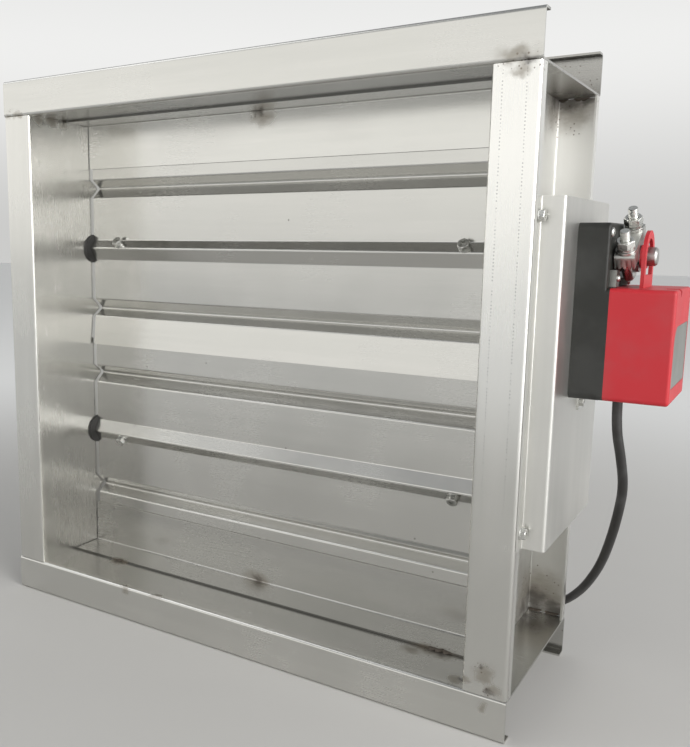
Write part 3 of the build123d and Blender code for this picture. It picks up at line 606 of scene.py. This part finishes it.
# Shaft clamp
# A U-bolt of 6 mm rod draws a cast saddle with toothed ends against the shaft and the hub's cradle. Each
# rolled stud holds a flat washer, a spring washer and a nut.
clamp_lean = math.radians(34)
clamp_up = Vector((0.0, -math.sin(clamp_lean), math.cos(clamp_lean)))
clamp_side = Vector((0.0, math.cos(clamp_lean), math.sin(clamp_lean)))
clamp_low, clamp_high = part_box("clamp_u_bolt")
clamp_middle = Vector(((clamp_low.x + clamp_high.x) / 2, 0.0, shaft_height))
stud_side, stud_radius, stud_end = 0.013, 0.003, 0.028
thread_start, thread_pitch, thread_ridge = 0.0125, 0.001, 0.0003
rod_steps, bend_steps = 32, 24
cast_zinc = bare_steel("cast_zinc", (0.68, 0.68, 0.65, 1.0), 0.40)
dress(cast_zinc, "clamp_saddle")


def thread_tree():
    """Geometry nodes that wind a ridge round a core, for a rolled thread."""
    tree = bpy.data.node_groups.new("rolled_thread", "GeometryNodeTree")
    for name in ("Radius", "Length", "Turns", "Ridge"):
        tree.interface.new_socket(name, in_out="INPUT", socket_type="NodeSocketFloat")
    tree.interface.new_socket("Finish", in_out="INPUT", socket_type="NodeSocketMaterial")
    tree.interface.new_socket("Thread", in_out="OUTPUT", socket_type="NodeSocketGeometry")
    given = add(tree, "NodeGroupInput").outputs
    pitch_line = maths(tree, "SUBTRACT", given["Radius"], given["Ridge"])
    spiral = add(tree, "GeometryNodeCurveSpiral", {
        "Resolution": 24, "Rotations": given["Turns"], "Start Radius": pitch_line, "End Radius": pitch_line,
        "Height": given["Length"]})
    wire = add(tree, "GeometryNodeCurvePrimitiveCircle", {"Resolution": 6, "Radius": given["Ridge"]})
    ridge = add(tree, "GeometryNodeCurveToMesh", {
        "Curve": spiral.outputs["Curve"], "Profile Curve": wire.outputs["Curve"], "Fill Caps": True})
    core = add(tree, "GeometryNodeMeshCylinder", {
        "Vertices": rod_steps, "Radius": pitch_line,
        "Depth": maths(tree, "ADD", given["Length"], 2 * thread_ridge)})
    raised = add(tree, "ShaderNodeCombineXYZ", {"Z": maths(tree, "MULTIPLY", given["Length"], 0.5)})
    core = add(tree, "GeometryNodeTransform", {
        "Geometry": core.outputs["Mesh"], "Translation": raised.outputs["Vector"]})
    both = add(tree, "GeometryNodeJoinGeometry", {"Geometry": ridge.outputs["Mesh"]})
    tree.links.new(core.outputs["Geometry"], both.inputs["Geometry"])
    real = add(tree, "GeometryNodeRealizeInstances", {"Geometry": both.outputs["Geometry"]})
    done = add(tree, "GeometryNodeSetMaterial", {
        "Geometry": real.outputs["Geometry"], "Material": given["Finish"]})
    add(tree, "NodeGroupOutput", {"Thread": done.outputs["Geometry"]})
    return tree


rolled_thread = thread_tree()
stud = bpy.data.objects.new("rolled_stud", bpy.data.meshes.new("rolled_stud"))
bpy.context.scene.collection.objects.link(stud)
modifier = stud.modifiers.new("thread", "NODES")
modifier.node_group = rolled_thread
inputs = {item.name: item.identifier for item in rolled_thread.interface.items_tree}
thread_length = stud_end - thread_start - thread_ridge
for name, value in (("Radius", stud_radius), ("Ridge", thread_ridge), ("Length", thread_length),
                    ("Turns", thread_length / thread_pitch), ("Finish", zinc_plating)):
    modifier[inputs[name]] = value
wound = bpy.data.meshes.new_from_object(stud.evaluated_get(bpy.context.evaluated_depsgraph_get()))
bpy.data.objects.remove(stud)

bolt = bmesh.new()
for side in (-1, 1):
    form = bmesh.new()
    form.from_mesh(wound)
    foot = clamp_middle + side * stud_side * clamp_side + thread_start * clamp_up
    stand = Matrix((sideways, clamp_side, clamp_up)).transposed().to_4x4()
    form.transform(Matrix.Translation(foot) @ stand)
    placed = bpy.data.meshes.new("placed_stud")
    form.to_mesh(placed)
    form.free()
    bolt.from_mesh(placed)
bend = []
for step in range(bend_steps + 1):
    angle = math.pi * step / bend_steps
    bend.append(stud_side * (-math.cos(angle) * clamp_side - math.sin(angle) * clamp_up))
tips = [thread_start * clamp_up - stud_side * clamp_side, thread_start * clamp_up + stud_side * clamp_side]
middle_line = [clamp_middle + point for point in [tips[0]] + bend + [tips[1]]]
rims = []
for number, point in enumerate(middle_line):
    before, after = middle_line[max(number - 1, 0)], middle_line[min(number + 1, len(middle_line) - 1)]
    if number in (1, len(middle_line) - 2):
        ahead = clamp_up * (-1 if number == 1 else 1)
    else:
        ahead = (after - before).normalized()
    across = Vector(sideways)
    over = ahead.cross(across)
    rims.append([bolt.verts.new(point + stud_radius * (math.cos(a) * across + math.sin(a) * over))
                 for a in (2 * math.pi * step / rod_steps for step in range(rod_steps))])
for low, high in zip(rims, rims[1:]):
    for step in range(rod_steps):
        after = (step + 1) % rod_steps
        bolt.faces.new((low[step], low[after], high[after], high[step]))
bolt.faces.new(rims[0][::-1])
bolt.faces.new(rims[-1])
bmesh.ops.recalc_face_normals(bolt, faces=bolt.faces)
u_bolt = template("clamp_u_bolt_rolled", bolt)
u_bolt.data.materials.append(zinc_plating)
bpy.context.scene.collection.objects.link(u_bolt)
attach(u_bolt, "upper_blade_set")
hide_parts("clamp_u_bolt")

saddle_top, stud_washer_top, nut_low, nut_high = 0.013, 0.0146, 0.0162, 0.0214
nut_flats, nut_edge, nut_turning, nut_countersink, stud_bore = 0.010, 0.0003, 0.0007, 0.0005, 0.0032
form = bmesh.new()
plain_washer(form, low=saddle_top, high=stud_washer_top, outside=0.006, bore=stud_bore)
split_washer(form, low=stud_washer_top, thick=0.0012, outside=0.0053, bore=stud_bore, rise=0.0004)
bore = round_rim(stud_radius + 0.00005)
hexagon = hex_rim(nut_flats)
turned_hexagon = hex_rim(nut_flats, corner=0.0054)
face_rim = hex_rim(nut_flats, corner=0.0049)
turned_form(form, [
    (nut_low, bore), (nut_low, face_rim), (nut_low + nut_edge, turned_hexagon),
    (nut_low + nut_turning, hexagon), (nut_high - nut_turning, hexagon),
    (nut_high - nut_edge, turned_hexagon), (nut_high, face_rim),
    (nut_high, round_rim(stud_radius + nut_countersink)), (nut_high - nut_countersink, bore)], hollow=True)
fasten("clamp_nut_stacks", template("nut_stack", form), "upper_blade_set",
       [(clamp_middle + side * stud_side * clamp_side, clamp_up, turn)
        for side, turn in ((-1, 0.35), (1, 0.75))],
       "clamp_washers", "clamp_spring_washers", "clamp_nuts")


# Actuator
# Black gear base and red motor housing, both moulded, held together by screws. A fixed red loop and a
# collar on the shaft's end show the position, two dark steel stops limit the clamp's travel, and the end of
# the housing carries a blank label.
dress(bare_steel("dark_steel", (0.34, 0.34, 0.32, 1.0), 0.36), "end_stops")
dress(moulded("black_base", (0.012, 0.0125, 0.010, 1.0), 0.50, 1500.0), "actuator_base")
dress(moulded("red_housing", (0.49, 0.016, 0.025, 1.0), 0.48, 1500.0), "actuator_housing", "indicator_loop",
      "indicator_collar")
dress(moulded("label_film", (0.15, 0.155, 0.14, 1.0), 0.35, 600.0), "label_plate")
dress(bare_steel("motor_can", (0.55, 0.55, 0.55, 1.0), 0.35), "motor")
dress(moulded("green_board", (0.03, 0.16, 0.06, 1.0), 0.35, 900.0), "circuit_board")


# Supply cable
# Black PVC sheathed lead of about a metre. It leaves the housing through a rubber grommet, hangs down
# behind the casing, and the rest lies coiled and tied on the floor with its cores bare.
def sheath(name, colour):
    """Soft extruded plastic, rubbed paler in places."""
    material, tree, shader, place = blank_material(name)
    fine = noise(tree, place, 900.0, 2.0)
    cloud = noise(tree, place, 40.0)
    worn = tuple(c + 0.03 for c in colour[:3]) + (1.0,)
    rubbed = between(tree, cloud, 0.45, 0.7, 0.0, 1.0)
    tree.links.new(mixed(tree, rubbed, colour, worn), shader.inputs["Base Color"])
    tree.links.new(between(tree, cloud, 0.3, 0.7, 0.36, 0.5), shader.inputs["Roughness"])
    bumped(tree, shader, fine, 0.1, 0.0002)
    return material


cable_black = sheath("black_sheath", (0.018, 0.017, 0.016, 1.0))
dress(cable_black, "cable_grommet", "cable_tie")
dress(sheath("brown_core", (0.16, 0.07, 0.04, 1.0)), "cable_cores")

cable_diameter = 0.0065
cable_exit = (0.271, -0.004, -0.0055)
cable_route = [
    cable_exit, (0.271, -0.004, -0.024), (0.275, 0.000, -0.046), (0.277, 0.007, -0.068),
    (0.2735, 0.015, -0.090), (0.268, 0.027, -0.113), (0.260, 0.044, -0.138), (0.249, 0.063, -0.161),
    (0.237, 0.084, -0.181), (0.222, 0.103, -0.199), (0.202, 0.115, -0.213), (0.178, 0.1185, -0.222),
    (0.155, 0.117, -0.2247),
]
coil_x, coil_y = 0.132, 0.156
floor_layer, top_layer = -0.2249, -0.2183
outer_turn, inner_turn = 0.0394, 0.0327
coil_stages = [(0, outer_turn, floor_layer), (270, outer_turn, floor_layer), (360, inner_turn, floor_layer),
               (560, inner_turn, floor_layer), (640, inner_turn, top_layer), (720, inner_turn, top_layer),
               (860, outer_turn, top_layer), (962, outer_turn, top_layer)]


def coil_point(turned):
    """Place on the coil after that many degrees, going clockwise from its front, seen from above."""
    for (a, r0, z0), (b, r1, z1) in zip(coil_stages, coil_stages[1:]):
        if a <= turned <= b:
            share = (turned - a) / (b - a)
            share = share * share * (3 - 2 * share)
            radius, height = r0 + share * (r1 - r0), z0 + share * (z1 - z0)
            angle = math.radians(-90 - turned)
            return coil_x + radius * math.cos(angle), coil_y + radius * math.sin(angle), height
    raise ValueError(turned)


coil_step = 26
coil_end = coil_stages[-1][0]
cable_points = cable_route + [coil_point(t) for t in range(0, coil_end + 1, coil_step)]
line = bpy.data.curves.new("supply_cable", "CURVE")
line.dimensions = "3D"
spline = line.splines.new("NURBS")
spline.points.add(len(cable_points) - 1)
for point, place in zip(spline.points, cable_points):
    point.co = (*place, 1.0)
spline.order_u = 3
spline.use_endpoint_u = True
spline.resolution_u = 10
line.bevel_depth = cable_diameter / 2
line.bevel_resolution = 6
line.use_fill_caps = True
line.materials.append(cable_black)
cable = bpy.data.objects.new("supply_cable", line)
bpy.context.scene.collection.objects.link(cable)
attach(cable, "casing")
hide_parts("cable", "cable_coil")


# Floor, light and camera
# A pale floor under a sky that is bright round the horizon, most of all to the right, with a soft lamp on
# each side. The camera stands where the photograph's did, with its middle off to the left.
floor_mesh = bpy.data.meshes.new("floor")
floor_reach = 9.0
floor_z = cad_box[0].z
floor_mesh.from_pydata([(-floor_reach, -floor_reach, floor_z), (floor_reach, -floor_reach, floor_z),
                        (floor_reach, floor_reach, floor_z), (-floor_reach, floor_reach, floor_z)],
                       [], [(0, 1, 2, 3)])
floor = bpy.data.objects.new("floor", floor_mesh)
bpy.context.scene.collection.objects.link(floor)
pale_floor, tree, shader, place = blank_material("pale_floor")
near_end, far_start = 0.45, 1.5
distance = vectors(tree, "LENGTH", place)["Value"]
near = mixed(tree, noise(tree, place, 3.0), (0.52, 0.51, 0.49, 1.0), (0.57, 0.56, 0.54, 1.0))
far_share = between(tree, distance, near_end, far_start, 0.0, 1.0)
tree.links.new(mixed(tree, far_share, near, (0.94, 0.94, 0.93, 1.0)), shader.inputs["Base Color"])
shader.inputs["Roughness"].default_value = 0.75
floor_mesh.materials.append(pale_floor)

world = bpy.data.worlds.new("sky_dome")
world.use_nodes = True
bpy.context.scene.world = world
sky = world.node_tree
front_light, right_light = (1.26, 1.25, 1.21, 1.0), (1.75, 1.73, 1.68, 1.0)
behind_low, behind_high = (0.60, 0.60, 0.59, 1.0), (0.88, 0.88, 0.87, 1.0)
overhead = (0.34, 0.35, 0.36, 1.0)
ray = add(sky, "ShaderNodeTexCoord").outputs["Generated"]
towards = add(sky, "ShaderNodeSeparateXYZ", {"Vector": ray}).outputs
behind = mixed(sky, between(sky, towards["Z"], 0.0, 0.22, 0.0, 1.0), behind_low, behind_high)
in_front = mixed(sky, between(sky, towards["X"], 0.3, 0.9, 0.0, 1.0), front_light, right_light)
horizon = mixed(sky, between(sky, towards["Y"], -0.2, 0.5, 0.0, 1.0), in_front, behind)
dome = mixed(sky, between(sky, towards["Z"], 0.15, 0.70, 0.0, 1.0), horizon, overhead)
sky.links.new(dome, sky.nodes["Background"].inputs["Color"])
sky.nodes["Background"].inputs["Strength"].default_value = 1.0


def soft_lamp(name, place, width, height, power):
    data = bpy.data.lights.new(name, "AREA")
    data.shape = "RECTANGLE"
    data.size, data.size_y = width, height
    data.energy = power
    lamp = bpy.data.objects.new(name, data)
    lamp.location = place
    lamp.rotation_euler = (-Vector(place)).to_track_quat("-Z", "Y").to_euler()
    bpy.context.scene.collection.objects.link(lamp)


soft_lamp("lamp_left", (-1.6, -0.8, 2.0), width=1.6, height=1.6, power=10)
soft_lamp("lamp_right", (2.1, -0.6, 0.9), width=1.5, height=1.8, power=44)

image_width, image_height = 690, 747
focal_pixels = 844.6
centre_u, centre_v = 249.93, 375.18
view_right, view_up = Vector((0.8331, 0.5531, 0.0063)), Vector((-0.0920, 0.1274, 0.98757))
view_back = view_right.cross(view_up)
camera_place = (0.3711, -0.5940, 0.0953)
lens = bpy.data.cameras.new("camera")
lens.sensor_width = 36.0
lens.lens = focal_pixels / image_height * lens.sensor_width
lens.shift_x = (image_width / 2 - centre_u) / image_height
lens.shift_y = (centre_v - image_height / 2) / image_height
camera = bpy.data.objects.new("camera", lens)
camera_turn = Matrix((view_right, view_up, view_back)).transposed().to_4x4()
camera.matrix_world = Matrix.Translation(camera_place) @ camera_turn
bpy.context.scene.collection.objects.link(camera)
bpy.context.scene.camera = camera
bpy.context.scene.view_settings.view_transform = "Standard"
